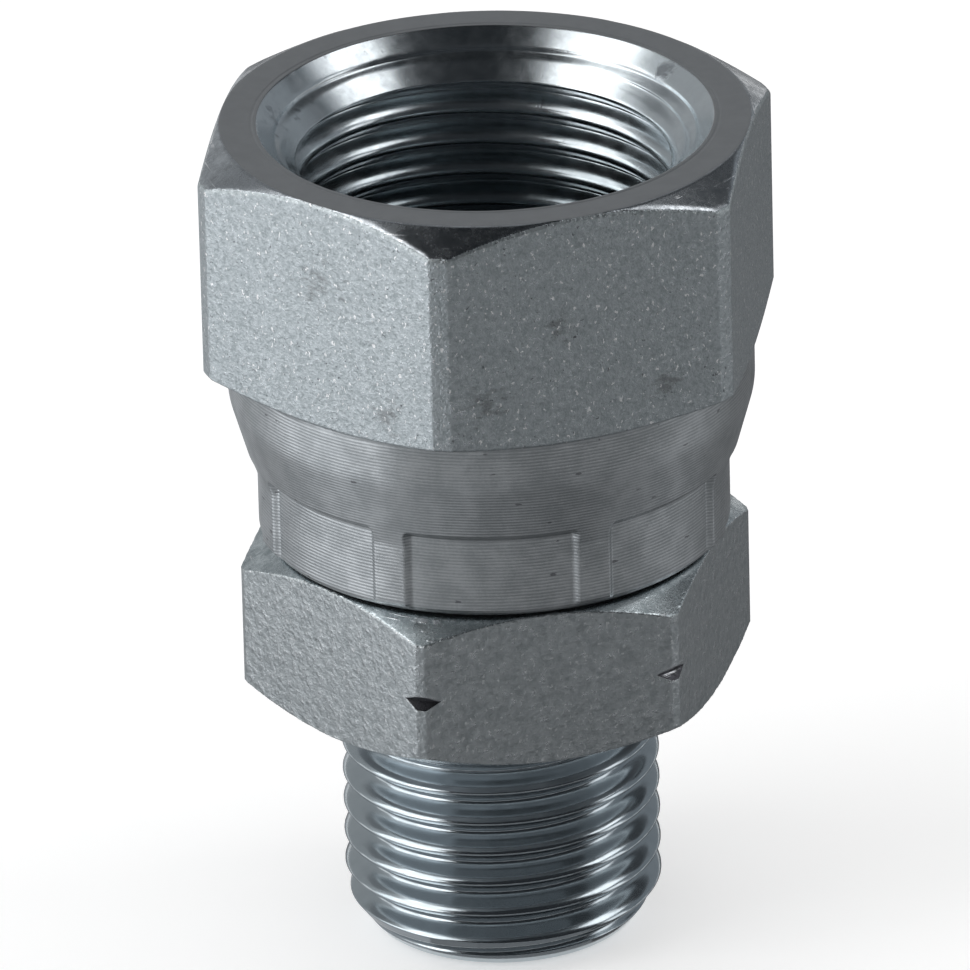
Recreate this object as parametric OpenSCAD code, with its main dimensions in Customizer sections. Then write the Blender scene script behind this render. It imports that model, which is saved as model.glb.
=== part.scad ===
// Swivel hose connector
// A swivel nut with an internal straight pipe thread, crimped around the nose
// of a one-piece hexagon body that ends in a threaded spigot.
// Millimetres, the axis is Z, the spigot end stands on z = 0.

/* [Show] */

// Which piece to draw

/* [Hexagon body] */

// Across the flats of the body hexagon
body_flats = 19.05; // [18.8:0.05:20.5]
// Height of the body hexagon
body_hex_height = 6.8; // [6:0.1:9]
// Angle of the chamfers on the body hexagon
body_chamfer_angle = 30; // [20:1:35]
// How deep a marking notch cuts into its corner
notch_depth = 0.42; // [0.2:0.02:0.6]
// Width of a marking notch at its corner
notch_width = 1.1; // [0.6:0.1:1.6]
// Number of neighbouring corners with a marking notch
notched_corners = 2; // [1:1:6]
// Angle of the first corner with a marking notch
first_notched_corner = 240; // [0:60:300]

/* [Threaded spigot] */

// Crest diameter of the spigot thread
spigot_diameter = 13.4; // [13.2:0.05:13.8]
// Length of the spigot below the hexagon
spigot_length = 11.4; // [10:0.1:16]
// Pitch of both threads, 18 threads to the inch
thread_pitch = 1.411; // [1.337:0.001:1.5]
// Depth of the thread on the spigot
spigot_thread_depth = 0.86; // [0.6:0.02:0.9]
// Width of a crest on either thread
crest_width = 0.22; // [0.12:0.01:0.3]
// Diameter of the flat ring at the spigot end
spigot_end_diameter = 10.3; // [9.8:0.1:11]
// Height of the taper at the spigot end
spigot_taper_height = 1.75; // [1.2:0.05:2.4]

/* [Passage] */

// Diameter of the passage through the body
passage_diameter = 6.8; // [5:0.1:7.6]
// Width of the chamfer at both ends of the passage
passage_chamfer = 0.45; // [0.2:0.05:0.6]

/* [Swivel nut] */

// Across the flats of the nut
nut_flats = 22.22; // [22.1:0.02:23.5]
// Height of the hexagon on the nut
nut_hex_height = 10.1; // [9.5:0.1:12]
// Angle of the chamfer on top of the nut
nut_top_chamfer_angle = 30; // [20:1:35]
// Angle of the chamfer under the hexagon of the nut
nut_lower_chamfer_angle = 20; // [12:1:30]
// Turn of the nut against the body, as it stands
nut_turn = 8; // [0:1:59]
// Minor diameter of the thread in the nut
nut_thread_minor = 15.4; // [15.3:0.02:15.7]
// Depth of the thread in the nut
nut_thread_depth = 0.78; // [0.6:0.02:0.82]
// Diameter of the countersunk mouth
mouth_diameter = 19.05; // [18.4:0.05:19.4]

/* [Crimped skirt] */

// Height of the plain round band under the hexagon
band_height = 1.9; // [1:0.1:3]
// Height of the cone the crimp leaves
crimp_cone_height = 3.2; // [2.8:0.1:4]
// Diameter of the crimped collar on its ribs
collar_diameter = 20.2; // [20:0.05:20.6]
// Height of the straight collar under the cone
collar_height = 3.1; // [2.9:0.1:3.6]
// Width of the chamfer at the foot of the collar
collar_chamfer = 0.45; // [0.2:0.05:0.6]
// Number of jaw marks pressed into the collar
jaw_marks = 8; // [6:1:8]
// Angle taken by the widest jaw mark with one rib
wide_jaw_angle = 49.8; // [45:0.2:54]
// Width of a rib between two jaw marks, as an angle
rib_angle = 7.5; // [5:0.5:10]
// Diameter of the floor of the jaw marks
jaw_mark_diameter = 19.76; // [19.5:0.02:19.9]
// Height of a jaw mark
jaw_mark_height = 2.85; // [2.2:0.05:3]
// Gap between the foot of the collar and the hexagon
collar_gap = 0.2; // [0.1:0.02:0.4]

/* [Sealing nose] */

// Diameter of the neck the collar turns on
neck_diameter = 14.6; // [14.2:0.05:14.8]
// Diameter of the flange that holds the nut
flange_diameter = 17.3; // [17.2:0.02:17.4]
// Rise of the cone inside the crimp, which the flange pulls on
inner_cone_height = 2.6; // [2.2:0.1:3]
// Thickness of the flange
flange_thickness = 1.6; // [1.4:0.1:2]
// Diameter of the tip of the sealing cone
nose_tip_diameter = 8.9; // [8.8:0.1:9.6]
// Height of the sealing cone above the flange
nose_height = 2.9; // [2.6:0.1:3.4]

/* [Clearances] */

// Gap all round between the collar and the neck
swivel_clearance = 0.06; // [0.03:0.01:0.09]
// Gap all round between the flange and the nut
flange_clearance = 0.1; // [0.06:0.01:0.14]
// How far the nut can lift before the crimp meets the flange
end_float = 0.25; // [0.15:0.05:0.4]

/* [Hidden] */

$fn = 96;

// Heights of the body, from the spigot end up
hex_floor = spigot_length;
hex_top = hex_floor + body_hex_height;
body_corner = body_flats / sqrt(3);
body_face_r = body_flats / 2 - 0.05;
body_chamfer_drop = (body_corner + 0.1 - body_face_r) * tan(body_chamfer_angle);

// Heights of the nut
nut_foot = hex_top + collar_gap;
cone_foot = nut_foot + collar_height;
band_foot = cone_foot + crimp_cone_height;
nut_hex_foot = band_foot + band_height;
nut_top = nut_hex_foot + nut_hex_height;
nut_corner = nut_flats / sqrt(3);
nut_face_r = nut_flats / 2 - 0.05;
band_r = nut_flats / 2 - 0.1;
nut_chamfer_drop = (nut_corner + 0.1 - nut_face_r) * tan(nut_top_chamfer_angle);
nut_lower_rise = (nut_corner + 0.1 - band_r) * tan(nut_lower_chamfer_angle);

// Thread profile
flank_angle = 30;
spigot_r = spigot_diameter / 2;
spigot_root_r = spigot_r - spigot_thread_depth;
spigot_flank = spigot_thread_depth * tan(flank_angle);
nut_minor_r = nut_thread_minor / 2;
nut_major_r = nut_minor_r + nut_thread_depth;
nut_flank = nut_thread_depth * tan(flank_angle);

// Grooves on the spigot, counted up from the taper
first_groove = 2.34;
spigot_grooves = floor((spigot_length - first_groove - 1.6) / thread_pitch) + 1;

// Grooves in the nut, counted down from the countersink
mouth_r = mouth_diameter / 2;
countersink_depth = mouth_r - nut_minor_r;
thread_top = nut_top - countersink_depth;
cavity_r = flange_diameter / 2 + flange_clearance;
first_nut_groove = thread_top - 0.75;

// Inside of the crimp
neck_r = neck_diameter / 2;
collar_bore_r = neck_r + swivel_clearance;
inner_cone_foot = cone_foot - 1.2;
inner_cone_top = inner_cone_foot + inner_cone_height;

// Flange and nose
flange_r = flange_diameter / 2;
cone_slope = inner_cone_height / (cavity_r - collar_bore_r);
flange_foot = inner_cone_foot + (flange_r - collar_bore_r) * cone_slope + end_float;
flange_top = flange_foot + flange_thickness;
nose_tip = flange_top + nose_height;
nose_tip_r = nose_tip_diameter / 2;
nose_foot_r = nose_tip_r + (nose_height - 0.3) * tan(30);
passage_r = passage_diameter / 2;

// The cavity over the flange, and the thread that starts above the sealing cone
cavity_ceiling = nose_tip + 0.15;
cavity_shoulder = cavity_ceiling - (cavity_r - nut_minor_r);
nut_grooves = floor((first_nut_groove - cavity_ceiling - 0.65) / thread_pitch) + 1;

module hexagon(flats, height) {
    cylinder(d = 2 * flats / sqrt(3), h = height, $fn = 6);
}

// Outside of the spigot with its ring grooves
module spigot_profile() {
    ring = [
        for (i = [0 : spigot_grooves - 1])
            let (z = first_groove + i * thread_pitch, root = (thread_pitch - crest_width) / 2 - spigot_flank)
                each [
                    [spigot_r, z - root - spigot_flank],
                    [spigot_root_r, z - root],
                    [spigot_root_r, z + root],
                    [spigot_r, z + root + spigot_flank]
                ]
    ];
    polygon(concat(
        [[0, 0], [spigot_end_diameter / 2, 0], [spigot_r - 0.12, spigot_taper_height - 0.25]],
        ring,
        [[spigot_r, hex_floor + 1], [0, hex_floor + 1]]
    ));
}

// Neck, flange and sealing cone, hidden in the nut
module nose_profile() {
    polygon([
        [0, hex_top - 1],
        [neck_r, hex_top - 1],
        [neck_r, flange_foot - (flange_r - neck_r)],
        [flange_r, flange_foot],
        [flange_r, flange_top - 0.3],
        [flange_r - 0.3, flange_top],
        [nose_foot_r, flange_top],
        [nose_tip_r, nose_tip - 0.3],
        [nose_tip_r - 0.3, nose_tip],
        [0, nose_tip]
    ]);
}

module adapter_body() {
    color("silver")
    difference() {
        union() {
            intersection() {
                translate([0, 0, hex_floor]) hexagon(body_flats, body_hex_height);
                rotate_extrude() polygon([
                    [0, hex_floor],
                    [body_face_r, hex_floor],
                    [body_corner + 0.1, hex_floor + body_chamfer_drop],
                    [body_corner + 0.1, hex_top - body_chamfer_drop],
                    [body_face_r, hex_top],
                    [0, hex_top]
                ]);
            }
            rotate_extrude() spigot_profile();
            rotate_extrude() nose_profile();
        }
        passage();
        for (i = [0 : notched_corners - 1]) {
            marking_notch(first_notched_corner + 60 * i);
        }
    }
}

// Fluid passage, chamfered at both ends
module passage() {
    rotate_extrude() polygon([
        [0, -1],
        [passage_r + passage_chamfer + 1, -1],
        [passage_r, passage_chamfer],
        [passage_r, nose_tip - passage_chamfer],
        [passage_r + passage_chamfer + 1, nose_tip + 1],
        [0, nose_tip + 1]
    ]);
}

// One V notch across a corner of the hexagon, at the corner's angle
module marking_notch(corner) {
    middle = hex_floor + body_hex_height / 2;
    slope = notch_width / 2 / notch_depth;
    sweep = 14;
    rotate([0, 0, corner - sweep / 2])
    rotate_extrude(angle = sweep) polygon([
        [body_corner - notch_depth, middle],
        [body_corner + 1, middle - (notch_depth + 1) * slope],
        [body_corner + 1, middle + (notch_depth + 1) * slope]
    ]);
}

// Outside of the nut below its hexagon
module skirt_profile() {
    polygon([
        [0, nut_foot],
        [jaw_mark_diameter / 2 - collar_chamfer, nut_foot],
        [collar_diameter / 2, nut_foot + collar_chamfer + 0.15],
        [collar_diameter / 2, cone_foot],
        [band_r, band_foot],
        [band_r, nut_hex_foot + 1],
        [0, nut_hex_foot + 1]
    ]);
}

// One mark of a crimping jaw, from its angle and its width
module jaw_mark(middle, width) {
    floor_r = jaw_mark_diameter / 2;
    mark_foot = nut_foot + collar_chamfer + 0.35;
    reach = collar_diameter / 2 + 1.5;
    rotate([0, 0, middle - width / 2])
    rotate_extrude(angle = width) polygon([
        [floor_r, mark_foot - 1.5],
        [reach, mark_foot - 1.5],
        [reach, mark_foot + jaw_mark_height + (reach - floor_r) * 0.2],
        [floor_r, mark_foot + jaw_mark_height]
    ]);
}

module jaw_marks_around() {
    narrow = (360 - wide_jaw_angle) / (jaw_marks - 1);
    widest = 256.5;
    jaw_mark(widest, wide_jaw_angle - rib_angle);
    for (i = [1 : jaw_marks - 1]) {
        jaw_mark(widest + wide_jaw_angle / 2 + (i - 0.5) * narrow, narrow - rib_angle);
    }
}

// Everything cut out of the nut: mouth, thread, cavity and inner cone
module nut_inside() {
    ring = [
        for (i = [0 : nut_grooves - 1])
            let (z = first_nut_groove - i * thread_pitch, root = (thread_pitch - crest_width) / 2 - nut_flank)
                each [
                    [nut_minor_r, z + root + nut_flank],
                    [nut_major_r, z + root],
                    [nut_major_r, z - root],
                    [nut_minor_r, z - root - nut_flank]
                ]
    ];
    rotate_extrude() polygon(concat(
        [[0, nut_top + 1], [mouth_r + 1, nut_top + 1], [nut_minor_r, thread_top]],
        ring,
        [
            [nut_minor_r, cavity_ceiling],
            [cavity_r, cavity_shoulder],
            [cavity_r, inner_cone_top],
            [collar_bore_r, inner_cone_foot],
            [collar_bore_r, nut_foot - 1],
            [0, nut_foot - 1]
        ]
    ));
}

module swivel_nut() {
    color("lightgrey")
    difference() {
        union() {
            intersection() {
                rotate([0, 0, nut_turn])
                translate([0, 0, nut_hex_foot]) hexagon(nut_flats, nut_hex_height);
                rotate_extrude() polygon([
                    [0, nut_hex_foot],
                    [band_r, nut_hex_foot],
                    [nut_corner + 0.1, nut_hex_foot + nut_lower_rise],
                    [nut_corner + 0.1, nut_top - nut_chamfer_drop],
                    [nut_face_r, nut_top],
                    [0, nut_top]
                ]);
            }
            rotate_extrude() skirt_profile();
        }
        nut_inside();
        jaw_marks_around();
    }
}

adapter_body();
swivel_nut();
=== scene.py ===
import math

import bpy
import numpy as np
from mathutils import Matrix, Vector


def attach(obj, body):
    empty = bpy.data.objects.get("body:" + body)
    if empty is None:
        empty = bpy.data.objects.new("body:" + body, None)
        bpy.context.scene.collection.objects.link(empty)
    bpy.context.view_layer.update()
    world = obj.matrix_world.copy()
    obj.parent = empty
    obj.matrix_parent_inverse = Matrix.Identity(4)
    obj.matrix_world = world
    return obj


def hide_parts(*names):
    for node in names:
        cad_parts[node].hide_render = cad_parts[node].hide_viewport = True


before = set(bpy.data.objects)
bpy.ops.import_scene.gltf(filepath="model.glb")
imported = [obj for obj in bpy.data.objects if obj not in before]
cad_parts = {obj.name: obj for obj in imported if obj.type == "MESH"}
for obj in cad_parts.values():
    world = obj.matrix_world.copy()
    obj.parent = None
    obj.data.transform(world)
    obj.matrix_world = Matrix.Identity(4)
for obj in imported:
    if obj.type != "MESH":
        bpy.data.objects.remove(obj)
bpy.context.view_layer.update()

MM = 0.001
TAU = 2 * math.pi
D30 = math.tan(math.radians(30))

# Heights and radii in millimetres, the same named values as the solids
BODY_FLATS = 19.05
NUT_FLATS = 22.22
PITCH = 1.411
HEX_FLOOR = 11.4
HEX_TOP = 18.2
NUT_FOOT = 18.4
CONE_FOOT = 21.5
CONE_SLOPE = 0.2844
NUT_HEX_FOOT = 26.6
NUT_TOP = 36.7
BAND_R = NUT_FLATS / 2 - 0.1
COLLAR_R = 10.1
MARK_R = 9.88
SPIGOT_R = 6.7
SPIGOT_DEPTH = 0.86
NUT_MINOR = 7.7
NUT_DEPTH = 0.78
MOUTH_R = 9.525
# Turn of the nut's hexagon, corners with a notch and how far a notch reaches, in degrees
NUT_TURN = 8.0
NOTCHED = (240, 300)
NOTCH_REACH = 7
NOTCH_Z = 14.8
# Height at which a crest of each thread passes angle zero
SPIGOT_CREST_Z = 7.695
NUT_CREST_Z = 33.306
# Columns round the axis, and the spacing of the rows on fine and plain stretches
COLUMNS = 1440
THREAD_ROW = 0.025
FINE_ROW = 0.03
BAND_ROW = 0.12
FLAT_ROW = 0.3
# The jaw marks: how many, the angle and width of the wide one, and the land between two
MARKS = 8
WIDE_MARK = 256.5
WIDE_SHARE = 49.8
MARK_LAND = 7.5


def smin(a, b, k):
    """Smooth minimum: a round edge where two surfaces meet."""
    h = np.clip(0.5 + 0.5 * (b - a) / k, 0, 1)
    return b + (a - b) * h - k * h * (1 - h)


def smax(a, b, k):
    return -smin(-a, -b, k)


def step(a, b, x):
    t = np.clip((x - a) / (b - a), 0, 1)
    return t * t * (3 - 2 * t)


def hexagon(theta, flats, turn, rho):
    """Radius of a hexagon at each angle, its corners rounded by rho."""
    a = flats / 2
    phi = (theta - math.radians(turn) + math.pi / 6) % (math.pi / 3) - math.pi / 6
    flat = a / np.cos(math.pi / 6 - np.abs(phi))
    centre = (a - rho) / math.cos(math.pi / 6)
    inside = np.clip(rho**2 - (centre * np.sin(phi)) ** 2, 0, None)
    arc = centre * np.cos(phi) + np.sqrt(inside)
    limit = math.atan2(rho * 0.5, centre + rho * math.cos(math.pi / 6))
    return np.where(np.abs(phi) < limit, arc, flat)


def noise_1d(theta, count, seed):
    """Smooth periodic noise round the axis, from -1 to 1."""
    g = np.random.default_rng(seed).uniform(-1, 1, count)
    x = (theta / TAU % 1) * count
    i = np.floor(x).astype(int)
    f = x - i
    f = f * f * (3 - 2 * f)
    return g[i % count] * (1 - f) + g[(i + 1) % count] * f


def lathe(name, rows, theta, mats):
    """A closed skin from rows of (radius, height, slot) round the axis."""
    n, m = len(rows), len(theta)
    co = np.empty((n, m, 3), np.float32)
    slot = np.empty((n, m), np.int32)
    for i, (r, z, s) in enumerate(rows):
        co[i, :, 0] = r * np.cos(theta) * MM
        co[i, :, 1] = r * np.sin(theta) * MM
        co[i, :, 2] = z * MM
        slot[i] = s
    i = np.arange(n - 1)[:, None]
    j = np.arange(m)[None, :]
    k = (j + 1) % m
    quads = np.stack([i * m + j, i * m + k, (i + 1) * m + k, (i + 1) * m + j], -1).reshape(-1, 4)
    here = np.arange(m)
    beside = (here + 1) % m
    last = (n - 1) * m
    close = np.stack([last + here, last + beside, beside, here], -1)
    quads = np.concatenate([quads, close])
    mesh = bpy.data.meshes.new(name)
    mesh.vertices.add(n * m)
    mesh.vertices.foreach_set("co", co.ravel())
    mesh.loops.add(quads.size)
    mesh.loops.foreach_set("vertex_index", quads.ravel().astype(np.int32))
    mesh.polygons.add(len(quads))
    mesh.polygons.foreach_set("loop_start", np.arange(0, quads.size, 4, dtype=np.int32))
    mesh.polygons.foreach_set("loop_total", np.full(len(quads), 4, np.int32))
    face_slot = np.concatenate([slot[:-1].reshape(-1), slot[-1]])
    mesh.polygons.foreach_set("material_index", face_slot)
    mesh.polygons.foreach_set("use_smooth", np.ones(len(quads), bool))
    mesh.update(calc_edges=True)
    mesh.validate()
    for mat in mats:
        mesh.materials.append(mat)
    obj = bpy.data.objects.new(name, mesh)
    bpy.context.collection.objects.link(obj)
    return obj


def thread(theta, z, crest_z, depth, crest, soft):
    """Depth below the crest of a right-hand helix, 0 on the crest, depth at the root."""
    p = (z - crest_z) / PITCH - theta / TAU
    d = PITCH * np.abs(p - np.round(p))
    flank = (d - crest) / D30
    return smin(smax(flank, np.zeros_like(flank), soft), np.full_like(flank, depth), soft)


THETA = np.linspace(0, TAU, COLUMNS, endpoint=False)
ONE = np.ones_like(THETA)


def span(a, b, size):
    n = max(1, int(round(abs(b - a) / size)))
    return list(np.linspace(a, b, n, endpoint=False))


def jaw_marks():
    """Middle angle and width of each jaw mark, in degrees."""
    narrow = (360 - WIDE_SHARE) / (MARKS - 1)
    marks = [(WIDE_MARK, WIDE_SHARE - MARK_LAND)]
    for i in range(1, MARKS):
        marks.append((WIDE_MARK + WIDE_SHARE / 2 + (i - 0.5) * narrow, narrow - MARK_LAND))
    return marks


def mark_depth(theta, z):
    """How far the jaw marks sink in, 1 on their floors, with sloped walls and round corners."""
    mask = np.zeros_like(theta)
    for middle, width in jaw_marks():
        x = ((np.degrees(theta) - middle + 180) % 360 - 180) * math.radians(1) * MARK_R
        half = math.radians(width) / 2 * MARK_R
        dx = (np.abs(x) - half) / 0.30
        dz = (z - 22.28) / 0.42
        d = np.hypot(np.maximum(dx + 1, 0), max(dz + 1, 0)) - 1
        mask = np.maximum(mask, step(0.06, -0.98, d))
    return mask


def burr(gap, z, seed):
    """Small unevenness along the edge where a chamfer meets a flat."""
    rough = noise_1d(THETA + z * 0.4, 700, seed) + 0.8 * noise_1d(THETA - z * 0.7, 260, seed + 1)
    return 0.018 * rough * np.exp(-(gap / 0.1) ** 2)


def nut_rows():
    flat, turned, face, bore, chamfer = 0, 1, 2, 3, 4
    rows = []
    hexa = smin(hexagon(THETA, NUT_FLATS, NUT_TURN, 0.2), 12.6 * ONE, 0.03)
    rows.append((7.36 * ONE, NUT_FOOT * ONE, turned))
    rows.append((8.6 * ONE, NUT_FOOT * ONE, turned))
    rows.append((9.5 * ONE, NUT_FOOT * ONE, turned))
    zs = span(NUT_FOOT, 19.1, 0.05) + span(19.1, CONE_FOOT, BAND_ROW)
    zs += span(CONE_FOOT, 22.5, 0.04) + span(22.5, NUT_HEX_FOOT, BAND_ROW)
    for z in zs:
        body = smin(max(COLLAR_R, COLLAR_R + (z - CONE_FOOT) * CONE_SLOPE), BAND_R, 0.12)
        body = body * ONE
        mask = mark_depth(THETA, z)
        r = body * (1 - mask) + np.minimum(body, MARK_R) * mask
        r = smin(r, (9.6 + (z - NUT_FOOT) * 1.3) * ONE, 0.2)
        rows.append((r, z * ONE, turned))
    zs = span(NUT_HEX_FOOT, 27.5, FINE_ROW) + span(27.5, 35.3, 0.4)
    zs += span(35.3, NUT_TOP - 0.02, FINE_ROW)
    for z in zs:
        low = BAND_R + (z - NUT_HEX_FOOT) / math.tan(math.radians(20))
        high = NUT_FLATS / 2 - 0.05 + (NUT_TOP - z) / D30
        cone = min(low, high) * ONE
        r = smin(cone, hexa, 0.32) + burr(cone - hexa, z, 3)
        rows.append((r, z * ONE, np.where(cone < hexa, chamfer if z > 30 else turned, flat)))
    edge = NUT_FLATS / 2 - 0.05
    # The top face from its outer edge in, as (radius, drop), with a fine groove near the mouth
    top = ((edge - 0.02, 0.012), (edge - 0.06, 0.012), (edge - 0.1, 0), (edge - 0.13, 0), (10.3, 0))
    top += ((9.83, 0), (9.8, 0), (9.76, 0.02), (9.72, 0.028), (9.68, 0.02), (9.64, 0), (9.61, 0))
    top += ((MOUTH_R + 0.05, 0), (MOUTH_R + 0.02, 0))
    for r, drop in top:
        rows.append((r * ONE, (NUT_TOP - drop) * ONE, face))
    for z in span(NUT_TOP - 0.02, 27.65, FINE_ROW):
        drop = NUT_TOP - z
        ring = 0.1 * math.exp(-((drop - 0.86) / 0.12) ** 2)
        cone = (MOUTH_R - drop + ring) * ONE
        depth = NUT_DEPTH * float(step(27.7, 28.6, z))
        ridge = NUT_MINOR * ONE
        if depth > 0.01:
            ridge = NUT_MINOR + thread(THETA, z, NUT_CREST_Z, depth, 0.22, 0.42)
        rows.append((smax(cone, ridge, 0.05), z * ONE, bore))
    for r, z in ((7.7, 27.65), (8.75, 26.56), (8.75, 22.9), (7.36, 20.3), (7.36, 18.6)):
        rows.append((r * ONE, z * ONE, bore))
    return rows


def body_rows():
    flat, turned, screw, chamfer, painted_shade = 0, 1, 2, 3, 4
    away = [np.abs((np.degrees(THETA) - corner + 180) % 360 - 180) for corner in NOTCHED]
    marked = np.minimum(*away) < NOTCH_REACH
    rows = []
    hexa = smin(hexagon(THETA, BODY_FLATS, 0, 0.35), 10.88 * ONE, 0.03)
    for r in (3.85, 4.4, 4.85):
        rows.append((r * ONE, 0 * ONE, turned))
    for z in span(0.02, HEX_FLOOR, THREAD_ROW):
        depth = SPIGOT_DEPTH * float(1 - step(10.0, 11.1, z))
        r = SPIGOT_R * ONE
        if depth > 0.01:
            r = SPIGOT_R - thread(THETA, z, SPIGOT_CREST_Z, depth, 0.1, 0.34)
        taper = smin(5.4 + 0.74 * z, 5.0 + 2.2 * z, 0.12)
        rows.append((smin(r, taper * ONE, 0.08), z * ONE, screw))
    for r in (6.9, 8.0, 9.44):
        rows.append((r * ONE, HEX_FLOOR * ONE, turned))
    zs = span(HEX_FLOOR + 0.01, 12.4, FINE_ROW) + span(12.4, 14.1, FLAT_ROW) + span(14.1, 15.5, FINE_ROW)
    zs += span(15.5, 17.2, FLAT_ROW) + span(17.2, HEX_TOP - 0.01, FINE_ROW)
    for z in zs:
        low = BODY_FLATS / 2 - 0.05 + (z - HEX_FLOOR) / D30
        high = BODY_FLATS / 2 - 0.05 + (HEX_TOP - z) / D30
        cone = min(low, high) * ONE
        notch = 10.58 + max((z - NOTCH_Z) * 1.135, (NOTCH_Z - z) * 0.764)
        r = smin(cone, hexa, 0.06) + burr(cone - hexa, z, 5)
        r = np.where(marked, smin(r, notch * ONE, 0.02), r)
        slot = np.where(cone < hexa, chamfer, flat)
        # Below the notch's apex its lower flank takes the near-black slot, painted shade for the inside
        # of the notch
        cut = painted_shade if z < NOTCH_Z else turned
        rows.append((r, z * ONE, np.where(marked & (notch < hexa), cut, slot)))
    # The neck, flange, nose and passage hidden in the nut, as (radius, height)
    neck = ((9.4, HEX_TOP), (8.6, HEX_TOP), (7.3, HEX_TOP), (7.3, 21.61))
    flange = ((8.65, 22.96), (8.65, 24.26), (8.35, 24.56))
    nose = ((5.95, 24.56), (4.45, 27.16), (4.15, 27.46), (3.85, 27.46), (3.4, 27.01))
    passage = ((3.4, 20.0), (3.4, 10.0), (3.4, 0.45))
    for r, z in neck + flange + nose + passage:
        rows.append((r * ONE, z * ONE, turned if r > 3.5 else screw))
    return rows


class Nodes:
    """Short calls for building a material."""

    def __init__(self, name):
        self.mat = bpy.data.materials.new(name)
        self.mat.use_nodes = True
        self.t = self.mat.node_tree
        self.bsdf = self.t.nodes["Principled BSDF"]
        coord = self.t.nodes.new("ShaderNodeTexCoord")
        scale = self.t.nodes.new("ShaderNodeVectorMath")
        scale.operation = "SCALE"
        scale.inputs["Scale"].default_value = 1000
        self.t.links.new(coord.outputs["Object"], scale.inputs[0])
        self.mm = scale.outputs[0]

    def link(self, a, b):
        self.t.links.new(a, b)

    def math(self, op, a, b=0.0, clamp=False):
        n = self.t.nodes.new("ShaderNodeMath")
        n.operation = op
        n.use_clamp = clamp
        for i, v in enumerate((a, b)):
            if hasattr(v, "is_linked"):
                self.link(v, n.inputs[i])
            else:
                n.inputs[i].default_value = v
        return n.outputs[0]

    def noise(self, scale, detail=4.0, rough=0.5, vector=None):
        n = self.t.nodes.new("ShaderNodeTexNoise")
        n.inputs["Scale"].default_value = scale
        n.inputs["Detail"].default_value = detail
        n.inputs["Roughness"].default_value = rough
        self.link(vector or self.mm, n.inputs["Vector"])
        return n.outputs["Fac"]

    def cells(self, scale, vector=None, feature="F1"):
        n = self.t.nodes.new("ShaderNodeTexVoronoi")
        n.feature = feature
        n.inputs["Scale"].default_value = scale
        self.link(vector or self.mm, n.inputs["Vector"])
        return n.outputs["Distance"]

    def ramp(self, fac, stops):
        n = self.t.nodes.new("ShaderNodeValToRGB")
        while len(n.color_ramp.elements) < len(stops):
            n.color_ramp.elements.new(0.5)
        for e, (p, c) in zip(n.color_ramp.elements, stops):
            e.position = p
            e.color = (c, c, c, 1) if isinstance(c, (int, float)) else (*c, 1)
        self.link(fac, n.inputs["Fac"])
        return n.outputs["Color"]

    def shifted(self, offset, stretch=(1, 1, 1)):
        n = self.t.nodes.new("ShaderNodeMapping")
        n.inputs["Location"].default_value = offset
        n.inputs["Scale"].default_value = stretch
        self.link(self.mm, n.inputs["Vector"])
        return n.outputs[0]

    def mix(self, fac, a, b):
        n = self.t.nodes.new("ShaderNodeMix")
        n.data_type = "RGBA"
        for v, s in ((fac, n.inputs[0]), (a, n.inputs[6]), (b, n.inputs[7])):
            if hasattr(v, "is_linked"):
                self.link(v, s)
            elif isinstance(v, (int, float)):
                s.default_value = v
            else:
                s.default_value = (*v, 1)
        return n.outputs[2]

    def bump(self, height, strength, distance, normal=None):
        n = self.t.nodes.new("ShaderNodeBump")
        n.inputs["Strength"].default_value = strength
        n.inputs["Distance"].default_value = distance * MM
        self.link(height, n.inputs["Height"])
        if normal is not None:
            self.link(normal, n.inputs["Normal"])
        return n.outputs[0]

    def spot(self, centre, radius):
        """A soft round patch, 1 in its middle."""
        n = self.t.nodes.new("ShaderNodeVectorMath")
        n.operation = "DISTANCE"
        n.inputs[1].default_value = centre
        self.link(self.mm, n.inputs[0])
        return self.math("SUBTRACT", 1, self.math("DIVIDE", n.outputs["Value"], radius), True)

    def bent(self, amount, scale, vector=None):
        """The same place pushed about by noise."""
        n = self.t.nodes.new("ShaderNodeTexNoise")
        n.inputs["Scale"].default_value = scale
        self.link(vector or self.mm, n.inputs["Vector"])
        push = self.t.nodes.new("ShaderNodeVectorMath")
        push.operation = "SCALE"
        push.inputs["Scale"].default_value = amount
        self.link(n.outputs["Color"], push.inputs[0])
        total = self.t.nodes.new("ShaderNodeVectorMath")
        total.operation = "ADD"
        self.link(vector or self.mm, total.inputs[0])
        self.link(push.outputs[0], total.inputs[1])
        return total.outputs[0]

    def height_z(self):
        n = self.t.nodes.new("ShaderNodeSeparateXYZ")
        self.link(self.mm, n.inputs[0])
        return n.outputs["Z"]

    def done(self, color, rough, normal=None):
        b = self.bsdf
        b.inputs["Metallic"].default_value = 1
        self.link(color, b.inputs["Base Color"])
        self.link(rough, b.inputs["Roughness"])
        if normal is not None:
            self.link(normal, b.inputs["Normal"])
        return self.mat


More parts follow.
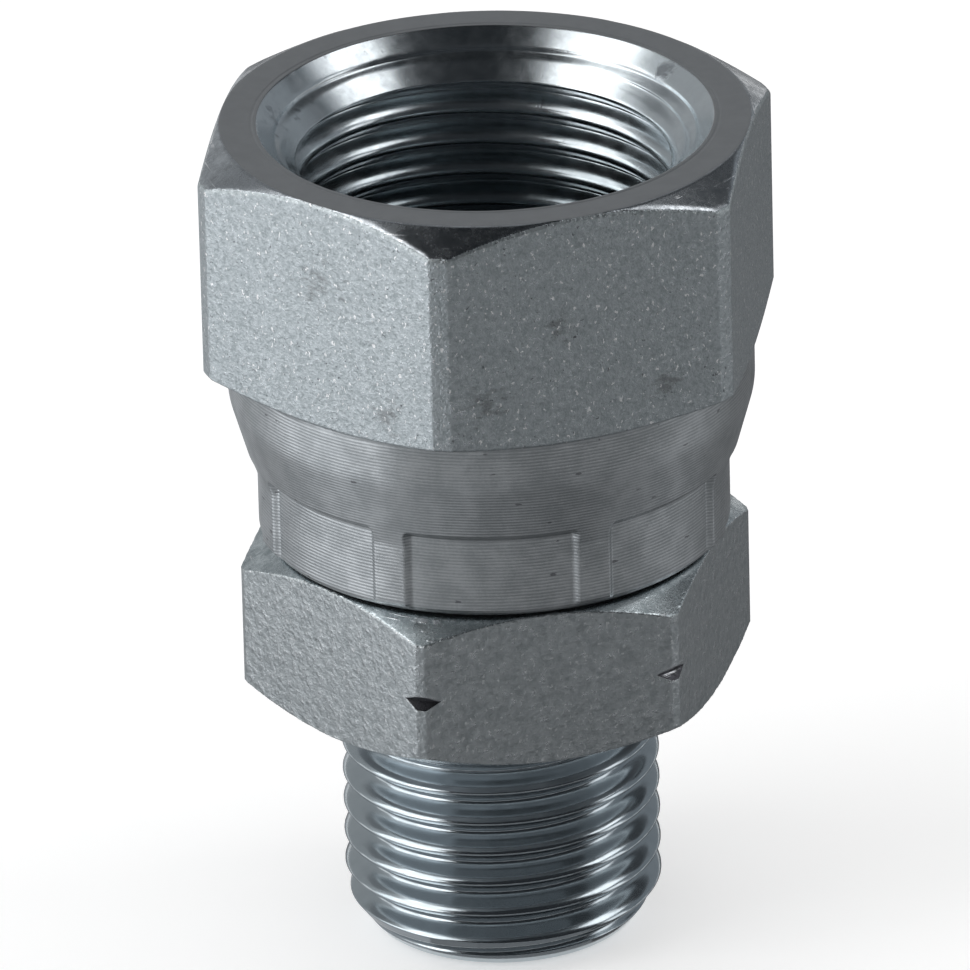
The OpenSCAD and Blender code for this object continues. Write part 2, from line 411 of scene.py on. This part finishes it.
def blasted(name, light, dark, size, depth, spots=(), crisp=1.0):
    """Zinc over a grainy hexagon flat, with dark pits, bright specks and smudges."""
    n = Nodes(name)
    soft = n.noise(size, 2, 0.5)
    fine = n.noise(size * 2.2, 4, 0.6, n.shifted((7, 3, 1)))
    wide = n.noise(0.55, 3, 0.5, n.shifted((1, 4, 2), (1, 1, 1.5)))
    smear = n.noise(1.5, 6, 0.7, n.shifted((9, 9, 9), (1, 1, 2)))
    smudge = n.ramp(n.noise(0.8, 5, 0.65, n.shifted((9, 9, 9), (1, 1, 2.5))), ((0.6, 0.0), (0.72, 0.3)))
    for centre, radius in spots:
        lift = n.math("SUBTRACT", n.math("MULTIPLY", n.spot(centre, radius), 0.26), 0.64)
        smudge = n.math("MAXIMUM", smudge, n.math("MULTIPLY", n.math("ADD", smear, lift), 7.0, True))
    cluster = n.ramp(n.noise(0.9, 3, 0.6, n.shifted((6, 1, 3))), ((0.4, 0.03), (0.66, 0.16)))
    pits = n.math("LESS_THAN", n.cells(2.8, n.bent(0.6, 4, n.shifted((3, 9, 4)))), cluster)
    specks = n.math("LESS_THAN", n.cells(3.4, n.bent(0.4, 6, n.shifted((13, 2, 8), (1, 1, 0.7)))), 0.165)
    grain = n.math("ADD", n.math("MULTIPLY", soft, 0.5), n.math("MULTIPLY", fine, 0.5))
    color = n.mix(n.ramp(grain, ((0.38, 0.0), (0.62, 1.0))), dark, light)
    color = n.mix(n.ramp(wide, ((0.35, 0.0), (0.7, 0.16))), color, dark)
    color = n.mix(n.math("MULTIPLY", smudge, 0.55), color, (0.16, 0.16, 0.16))
    color = n.mix(n.math("MULTIPLY", pits, 0.75 * crisp), color, (0.1, 0.1, 0.11))
    color = n.mix(n.math("MULTIPLY", specks, crisp), color, (0.95, 0.95, 0.95))
    height = n.math("ADD", grain, n.math("MULTIPLY", pits, -0.4 * crisp))
    height = n.math("ADD", height, n.math("MULTIPLY", specks, 0.4 * crisp))
    rough = n.ramp(grain, ((0.4, 0.4), (0.62, 0.26)))
    return n.done(color, rough, n.bump(height, 1.0, depth))


def worn(name, light, dark, roughness, depth):
    """Zinc over a machined chamfer: mottled, with a few scratches that follow its edge."""
    n = Nodes(name)
    patch = n.noise(1.6, 5, 0.6)
    grain = n.noise(7, 4, 0.6, n.shifted((2, 5, 8)))
    place = n.t.nodes.new("ShaderNodeSeparateXYZ")
    n.link(n.mm, place.inputs[0])
    squares = n.math("ADD", n.math("MULTIPLY", place.outputs["X"], place.outputs["X"]),
                     n.math("MULTIPLY", place.outputs["Y"], place.outputs["Y"]))
    line = n.t.nodes.new("ShaderNodeCombineXYZ")
    n.link(n.math("MULTIPLY", n.math("SQRT", squares), 9.0), line.inputs[0])
    n.link(n.math("MULTIPLY", place.outputs["X"], 0.3), line.inputs[1])
    n.link(n.math("MULTIPLY", place.outputs["Y"], 0.3), line.inputs[2])
    stripes = n.ramp(n.noise(1.0, 2, 0.5, line.outputs[0]), ((0.6, 0.0), (0.66, 1.0)))
    where = n.ramp(n.noise(0.8, 3, 0.6, n.shifted((4, 7, 1))), ((0.5, 0.0), (0.58, 1.0)))
    scratch = n.math("MULTIPLY", stripes, where)
    tone = n.math("ADD", n.math("MULTIPLY", patch, 0.6), n.math("MULTIPLY", grain, 0.4))
    color = n.mix(n.ramp(tone, ((0.38, 0.0), (0.62, 1.0))), dark, light)
    color = n.mix(scratch, color, (0.92, 0.93, 0.95))
    rough = n.ramp(tone, ((0.4, roughness + 0.08), (0.6, roughness - 0.04)))
    height = n.math("ADD", n.math("MULTIPLY", grain, 0.5), scratch)
    return n.done(color, rough, n.bump(height, 1.0, depth))


def turned(name, light, dark, pitch, depth, roughness):
    """Zinc over a turned surface, with fine rings left by the tool."""
    n = Nodes(name)
    z = n.height_z()
    wobble = n.noise(0.7, 2, 0.5)
    phase = n.math("MULTIPLY", n.math("ADD", z, n.math("MULTIPLY", wobble, 0.06)), TAU / pitch)
    ring = n.math("SINE", phase)
    uneven = n.noise(1.0, 4, 0.6, n.shifted((0, 0, 0), (0.5, 0.5, 7)))
    rings = n.math("MULTIPLY", ring, uneven)
    patch = n.noise(0.8, 4, 0.55, n.shifted((5, 1, 2)))
    grain = n.noise(9, 3, 0.6, n.shifted((8, 8, 1)))
    nick = n.math("LESS_THAN", n.cells(0.5, n.bent(0.5, 3, n.shifted((2, 6, 9), (1, 1, 2.6)))), 0.075)
    speckled = n.math("ADD", patch, n.math("MULTIPLY", grain, 0.4))
    tone = n.math("ADD", n.math("MULTIPLY", rings, 0.35), speckled)
    color = n.mix(n.ramp(tone, ((0.5, 0.0), (0.9, 1.0))), dark, light)
    color = n.mix(n.math("MULTIPLY", nick, 0.7), color, (0.12, 0.12, 0.13))
    rough = n.ramp(patch, ((0.3, roughness + 0.07), (0.7, roughness - 0.05)))
    height = n.math("ADD", rings, n.math("MULTIPLY", grain, 0.7))
    return n.done(color, rough, n.bump(height, 1.0, depth))


def smooth(name, light, dark, roughness, patchy=0.0, shade=None, spots=()):
    """Bright zinc over a thread or a faced ring, with painted shade darkening it from the higher of two
    heights down to the lower, if asked.
    """
    n = Nodes(name)
    patch = n.noise(1.3, 5, 0.6)
    fine = n.noise(11, 3, 0.5, n.shifted((4, 4, 4)))
    color = n.mix(n.ramp(patch, ((0.3, 0.0), (0.7, 1.0))), dark, light)
    # Painted shade: the colour darkens from the higher height down to the lower one, standing in for the
    # shade deep in a bore
    if shade:
        low, high, painted_shade_colour = shade
        span_z = n.math("DIVIDE", n.math("SUBTRACT", high, n.height_z()), high - low, True)
        color = n.mix(span_z, color, painted_shade_colour)
    rough = n.ramp(patch, ((0.35, roughness + 0.04 + patchy), (0.65, roughness - 0.03)))
    height = n.math("ADD", n.math("MULTIPLY", fine, 0.03), n.math("MULTIPLY", patch, patchy * 3))
    if spots:
        stain = 0.0
        smear = n.noise(2.2, 5, 0.65, n.shifted((3, 8, 5)))
        for centre, radius, strength in spots:
            lift = n.math("SUBTRACT", n.math("MULTIPLY", n.spot(centre, radius), strength), 0.64)
            near = n.math("MULTIPLY", n.math("ADD", smear, lift), 5.0, True)
            stain = n.math("MAXIMUM", stain, near)
        color = n.mix(n.math("MULTIPLY", stain, 0.7), color, (0.2, 0.21, 0.23))
        height = n.math("ADD", height, n.math("MULTIPLY", stain, 1.5))
    return n.done(color, rough, n.bump(height, 0.6, 0.006))


# Middle and radius in millimetres of the dark smudges on the nut's flats
NUT_SPOTS = (((-8.7, -7.0, 33.1), 1.9), ((-6.6, -9.6, 28.2), 1.5), ((-2.7, -11.6, 29.1), 1.7),
             ((5.0, -10.5, 28.5), 1.2), ((0.5, -11.2, 31.9), 1.2))
# Lowest and highest level of the painted shade in the nut's bore, which darkens it towards its depth,
# and the colour of that shade
BORE_PAINTED_SHADE = (29.5, 34.5, (0.3, 0.34, 0.36))
# Middle, radius and strength of the stains on the countersink
BORE_SPOTS = (((8.5, 3.4, 36.3), 0.8, 0.5), ((-8.3, 3.4, 36.0), 1.8, 0.2),
              ((-7.2, 5.1, 35.4), 1.0, 0.25))
nut_mats = [
    blasted("zinc_nut_flats", (0.575, 0.615, 0.632), (0.385, 0.425, 0.438), 4.2, 0.088, NUT_SPOTS),
    turned("zinc_nut_turned", (0.54, 0.56, 0.57), (0.36, 0.38, 0.39), 0.145, 0.008, 0.34),
    smooth("zinc_nut_face", (0.50, 0.51, 0.52), (0.46, 0.47, 0.48), 0.32),
    smooth("zinc_nut_bore", (0.68, 0.73, 0.75), (0.61, 0.65, 0.68), 0.2, 0.03, BORE_PAINTED_SHADE, BORE_SPOTS),
    worn("zinc_nut_chamfer", (0.63, 0.66, 0.69), (0.39, 0.41, 0.43), 0.22, 0.004),
]
body_mats = [
    blasted("zinc_body_flats", (0.56, 0.59, 0.60), (0.39, 0.42, 0.43), 2.4, 0.13, (), 0.4),
    turned("zinc_body_turned", (0.56, 0.58, 0.60), (0.38, 0.40, 0.42), 0.16, 0.004, 0.32),
    smooth("zinc_body_thread", (0.51, 0.56, 0.59), (0.46, 0.51, 0.54), 0.16),
    worn("zinc_body_chamfer", (0.78, 0.84, 0.86), (0.38, 0.43, 0.45), 0.25, 0.012),
    # Near-black painted shade for the lower flank of each corner notch
    worn("zinc_body_notch_painted_shade", (0.08, 0.08, 0.09), (0.03, 0.03, 0.03), 0.3, 0.003),
]

nut = lathe("nut_skin", nut_rows(), THETA, nut_mats)
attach(nut, "nut")
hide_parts("swivel_nut")
body = lathe("body_skin", body_rows(), THETA, body_mats)
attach(body, "body")
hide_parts("adapter_body")

# Camera, in the part's frame: a long lens 24 degrees above the horizon
TURN = math.radians(-12.5)
cam_data = bpy.data.cameras.new("camera")
cam_data.sensor_width = 36
cam_data.lens = 17370.69 / 970 * 36
cam_data.clip_start, cam_data.clip_end = 0.05, 20
cam = bpy.data.objects.new("camera", cam_data)
bpy.context.collection.objects.link(cam)
bpy.context.scene.camera = cam
pitch, yaw, roll = math.radians(25.0435), math.radians(-0.033), math.radians(-1.4427)
fwd = Vector((math.sin(yaw) * math.cos(pitch), math.cos(yaw) * math.cos(pitch), -math.sin(pitch)))
right = Vector((math.cos(yaw), -math.sin(yaw), 0))
up = right.cross(fwd)
r2 = math.cos(roll) * right + math.sin(roll) * up
u2 = -math.sin(roll) * right + math.cos(roll) * up
rot = Matrix((r2, u2, -fwd)).transposed().to_4x4()
turn = Matrix.Rotation(TURN, 4, "Z")
place = Matrix.Translation((0, -0.65881, 0.29085 + 0.03682))
cam.matrix_world = turn @ place @ rot


AIM = Vector((0, 0, 0.02))
CARD_COLUMNS = 25
CARD_ROWS = 9


def around(azimuth, elevation, distance):
    """A place seen from the part: azimuth 0 is towards the camera, 90 its right."""
    a, e = math.radians(azimuth), math.radians(elevation)
    p = Vector((math.sin(a) * math.cos(e), -math.cos(a) * math.cos(e), math.sin(e))) * distance
    return turn @ p + AIM


def softbox(name, azimuth, elevation, distance, width, height, power):
    data = bpy.data.lights.new(name, "AREA")
    data.shape = "RECTANGLE"
    data.size, data.size_y = width, height
    data.energy = power
    obj = bpy.data.objects.new(name, data)
    bpy.context.collection.objects.link(obj)
    obj.location = around(azimuth, elevation, distance)
    obj.rotation_mode = "QUATERNION"
    obj.rotation_quaternion = (obj.location - AIM).to_track_quat("Z", "Y")
    return obj


def stage_card(name, verts, faces, grey):
    """A studio card that only reflections see."""
    mesh = bpy.data.meshes.new(name)
    mesh.from_pydata(verts, [], faces)
    obj = bpy.data.objects.new(name, mesh)
    bpy.context.collection.objects.link(obj)
    mat = bpy.data.materials.new(name)
    mat.use_nodes = True
    shader = mat.node_tree.nodes["Principled BSDF"]
    shader.inputs["Base Color"].default_value = (0, 0, 0, 1)
    shader.inputs["Specular IOR Level"].default_value = 0
    shader.inputs["Emission Color"].default_value = (*grey, 1)
    shader.inputs["Emission Strength"].default_value = 1
    mesh.materials.append(mat)
    obj.visible_camera = False
    obj.visible_shadow = False
    obj.visible_diffuse = False
    return obj


def card_faces(columns, rows):
    """Faces over a grid of points, row by row."""
    starts = [i * columns + j for i in range(rows - 1) for j in range(columns - 1)]
    return [(k, k + 1, k + columns + 1, k + columns) for k in starts]


def tent(name, azimuths, elevations, distance, grey):
    """A curved card over a stretch of azimuth and elevation."""
    a = np.linspace(azimuths[0], azimuths[1], CARD_COLUMNS)
    e = np.linspace(elevations[0], elevations[1], CARD_ROWS)
    verts = [tuple(around(x, y, distance)) for y in e for x in a]
    return stage_card(name, verts, card_faces(CARD_COLUMNS, CARD_ROWS), grey)


def flag(name, azimuths, radii, height, grey):
    """A card that lies on the floor beside the part."""
    a = np.linspace(azimuths[0], azimuths[1], CARD_COLUMNS)
    verts = []
    for r in radii:
        for x in a:
            p = turn @ Vector((math.sin(math.radians(x)) * r, -math.cos(math.radians(x)) * r, height))
            verts.append(tuple(p))
    return stage_card(name, verts, card_faces(CARD_COLUMNS, 2), grey)


softbox("key_left", -80, 50, 0.6, 0.36, 0.28, 0.48)
softbox("key_left_low", -63, 24, 0.6, 0.28, 0.3, 0.56)
softbox("key_right_low", 86, 22, 0.6, 0.18, 0.22, 0.15)
tent("tent_edge_left", (-106, -80), (16, 38), 0.85, (2.0, 2.06, 2.1))
tent("tent_high_left", (-134, -98), (47, 65), 0.7, (1.2, 1.23, 1.25))
softbox("key_right", 96, 50, 0.6, 0.26, 0.2, 0.29)
tent("tent_front", (-56, 75), (2, 80), 0.9, (0.03, 0.033, 0.037))
tent("tent_top", (-180, 180), (66, 90), 0.8, (0.012, 0.014, 0.016))
tent("tent_left", (-120, -56), (14, 70), 0.95, (0.42, 0.44, 0.45))
tent("tent_right", (75, 118), (8, 70), 0.95, (0.2, 0.22, 0.24))
tent("tent_back_right", (118, 158), (28, 68), 0.9, (0.05, 0.055, 0.06))
tent("tent_low_right", (118, 158), (2, 28), 0.9, (0.24, 0.26, 0.28))
tent("tent_back", (158, 196), (2, 68), 0.9, (0.25, 0.26, 0.27))
tent("tent_back_left", (196, 240), (2, 30), 0.9, (0.36, 0.375, 0.385))
tent("tent_back_left_high", (196, 240), (30, 68), 0.9, (0.2, 0.21, 0.22))
# Greys on the floor round the part, in rings from the inside out: radii in metres, then
# (start, end, grey) for each stretch of azimuth in degrees. The dark greys of the two inner rings
# are painted shade: seen only in reflections, they stand in for the part's own shadow round its base
RINGS = (
    ((0.0058, 0.017), ((-180, -92, 0.22), (-92, -34, 0.42), (-34, -12, 0.22), (-12, 40, 0.2),
                       (40, 58, 0.08), (58, 92, 0.24), (92, 112, 0.07), (112, 180, 0.12))),
    ((0.017, 0.022), ((-180, -92, 0.22), (-92, -34, 0.42), (-34, -12, 0.14), (-12, 40, 0.06),
                      (40, 58, 0.06), (58, 92, 0.26), (92, 112, 0.07), (112, 180, 0.12))),
    ((0.022, 0.036), ((-180, -88, 0.33), (-88, -48, 0.52), (-48, -8, 0.4), (-8, 12, 0.3),
                      (12, 50, 0.25), (50, 70, 0.24), (70, 105, 0.3), (105, 180, 0.17))),
    ((0.036, 0.06), ((-180, -88, 0.43), (-88, -48, 0.76), (-48, -8, 0.37), (-8, 12, 0.26),
                     (12, 50, 0.2), (50, 70, 0.26), (70, 105, 0.36), (105, 180, 0.19))),
    ((0.06, 0.5), ((-180, -100, 0.52), (-100, -45, 1.35), (-45, 5, 0.31), (5, 70, 0.26),
                   (70, 110, 0.38), (110, 190, 0.18))),
)
for ring, (radii, parts) in enumerate(RINGS):
    for k, (start, end, grey) in enumerate(parts):
        flag(f"flag_{ring}_{k}", (start, end), radii, 0.0004, (grey, grey * 1.03, grey * 1.07))

floor_mesh = bpy.data.meshes.new("floor")
floor_mesh.from_pydata([(-2, -2, 0), (2, -2, 0), (2, 2, 0), (-2, 2, 0)], [], [(0, 1, 2, 3)])
floor = bpy.data.objects.new("floor", floor_mesh)
bpy.context.collection.objects.link(floor)
floor_mat = bpy.data.materials.new("floor")
floor_mat.use_nodes = True
floor_bsdf = floor_mat.node_tree.nodes["Principled BSDF"]
floor_bsdf.inputs["Base Color"].default_value = (0.9, 0.9, 0.9, 1)
floor_bsdf.inputs["Roughness"].default_value = 0.8
floor_mesh.materials.append(floor_mat)


def backdrop_rays(nodes_tree, shaded, seen):
    """Grey that lights the scene, another that the camera and mirrored rays see."""
    path = nodes_tree.nodes.new("ShaderNodeLightPath")
    total = path.outputs["Is Camera Ray"]
    for ray in ("Is Glossy Ray", "Is Transmission Ray"):
        both = nodes_tree.nodes.new("ShaderNodeMath")
        both.operation = "MAXIMUM"
        nodes_tree.links.new(total, both.inputs[0])
        nodes_tree.links.new(path.outputs[ray], both.inputs[1])
        total = both.outputs[0]
    tone = nodes_tree.nodes.new("ShaderNodeMix")
    tone.data_type = "RGBA"
    tone.inputs[6].default_value = (shaded, shaded, shaded, 1)
    tone.inputs[7].default_value = (seen, seen, seen, 1)
    nodes_tree.links.new(total, tone.inputs[0])
    return tone.outputs[2]


floor_bsdf.inputs["Emission Strength"].default_value = 1
floor_glow = backdrop_rays(floor_mat.node_tree, 0, 0.36)
floor_mat.node_tree.links.new(floor_glow, floor_bsdf.inputs["Emission Color"])

world = bpy.data.worlds.new("world")
bpy.context.scene.world = world
world.use_nodes = True
sky = backdrop_rays(world.node_tree, 0.6, 1)
world.node_tree.links.new(sky, world.node_tree.nodes["Background"].inputs["Color"])

bpy.context.scene.view_settings.view_transform = "Standard"
